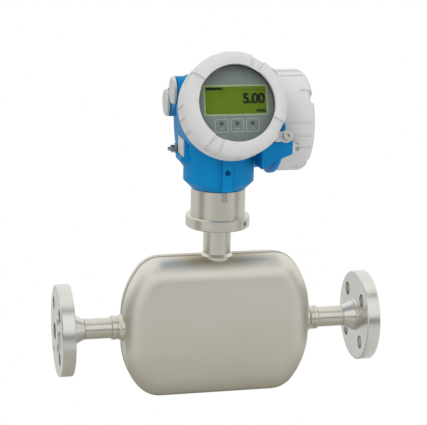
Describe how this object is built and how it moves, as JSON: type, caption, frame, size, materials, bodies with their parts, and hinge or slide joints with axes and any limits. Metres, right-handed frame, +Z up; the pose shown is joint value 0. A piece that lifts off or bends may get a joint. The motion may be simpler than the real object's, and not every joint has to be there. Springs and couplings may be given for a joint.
{
  "type": "coriolis flow meter",
  "caption": "Flanged coriolis mass flow meter: oval steel sensor case with twin bent measuring tubes, a neck, and a swivelling blue transmitter with tilted display and side terminal cover.",
  "frame": {"origin": "centre of the inlet flange's sealing face, on the pipe axis", "axes": "+X along the pipe with the flow towards the outlet, -Y the side the display faces, +Z up the neck to the transmitter"},
  "size_m": [0.338, 0.1611, 0.368],
  "materials": {
    "stainless": "satin stainless steel",
    "turned_steel": "fine turned stainless steel",
    "weld": "weld bead",
    "machined_steel": "machined steel",
    "copper": "wound enamelled copper wire",
    "sensor_plastic": "moulded",
    "screw_steel": "plain screw steel",
    "rubber": "black",
    "green_plastic": "moulded",
    "blue_paint": "blue powder coat on cast aluminium",
    "grey_paint": "light grey powder coat on cast aluminium",
    "plug_metal": "light grey coat",
    "window": "clear glass",
    "ring_steel": "blackened",
    "panel_print": "printed front panel",
    "lcd_glass": "liquid crystal display",
    "dark_plastic": "moulded",
    "plate_steel": "bare plate"
  },
  "bodies": {
    "sensor": {"inlet_flange": "turned_steel", "outlet_flange": "turned_steel", "inlet_pipe": "stainless", "outlet_pipe": "stainless", "inlet_collar": "stainless", "outlet_collar": "stainless", "front_shell": "stainless", "rear_shell": "stainless", "case_seam": "weld", "inlet_splitter": "machined_steel", "outlet_splitter": "machined_steel", "front_tube": "stainless", "rear_tube": "stainless", "inlet_brace": "machined_steel", "outlet_brace": "machined_steel", "carrier_bar": "machined_steel", "drive_coil": "copper", "drive_magnet": "machined_steel", "pickoff_coils": "copper", "pickoff_magnets": "machined_steel", "temperature_sensor": "sensor_plastic", "neck_pipe": "stainless", "neck_ring": "stainless", "ring_screw": "screw_steel", "neck_adapter": "stainless", "stop_key": "stainless", "swivel_seal": "rubber", "feedthrough": "green_plastic"},
    "display_cap": {"display_cover": "grey_paint", "window_glass": "window", "glass_ring": "ring_steel"},
    "display_unit": {"display_panel": "panel_print", "lcd": "lcd_glass", "display_module": "dark_plastic"},
    "terminal_cap": {"terminal_cover": "grey_paint"},
    "transmitter": {"housing": "blue_paint", "swivel_screw": "screw_steel", "display_seal": "rubber", "electronics_module": "dark_plastic", "module_screws": "screw_steel", "terminal_seal": "rubber", "terminal_carrier": "dark_plastic", "terminal_block": "green_plastic", "terminal_screws": "screw_steel", "front_plug": "plug_metal", "rear_plug": "plug_metal", "plug_seals": "rubber", "display_clamp": "grey_paint", "display_clamp_screw": "screw_steel", "terminal_clamp": "grey_paint", "terminal_clamp_screw": "screw_steel", "tag_plate": "plate_steel", "ground_screw": "screw_steel", "ground_washer": "screw_steel", "ground_clamp": "screw_steel"}
  },
  "joints": [
    {"name": "housing_swivel", "type": "hinge", "parent": "sensor", "child": "transmitter", "pos_m": [0.169, 0, 0.147], "axis": [0, 0, 1], "range_deg": [-175, 175]},
    {"name": "display_cover_turn", "type": "hinge", "parent": "transmitter", "child": "display_cap", "pos_m": [0.169, -0.0719, 0.2468], "axis": [0, -0.9397, 0.342], "continuous": true},
    {"name": "display_turn", "type": "hinge", "parent": "transmitter", "child": "display_unit", "pos_m": [0.169, -0.0719, 0.2468], "axis": [0, -0.9397, 0.342], "range_deg": [-180, 180]},
    {"name": "terminal_cover_turn", "type": "hinge", "parent": "transmitter", "child": "terminal_cap", "pos_m": [0.2623, 0.02, 0.211], "axis": [1, 0, 0], "continuous": true}
  ]
}
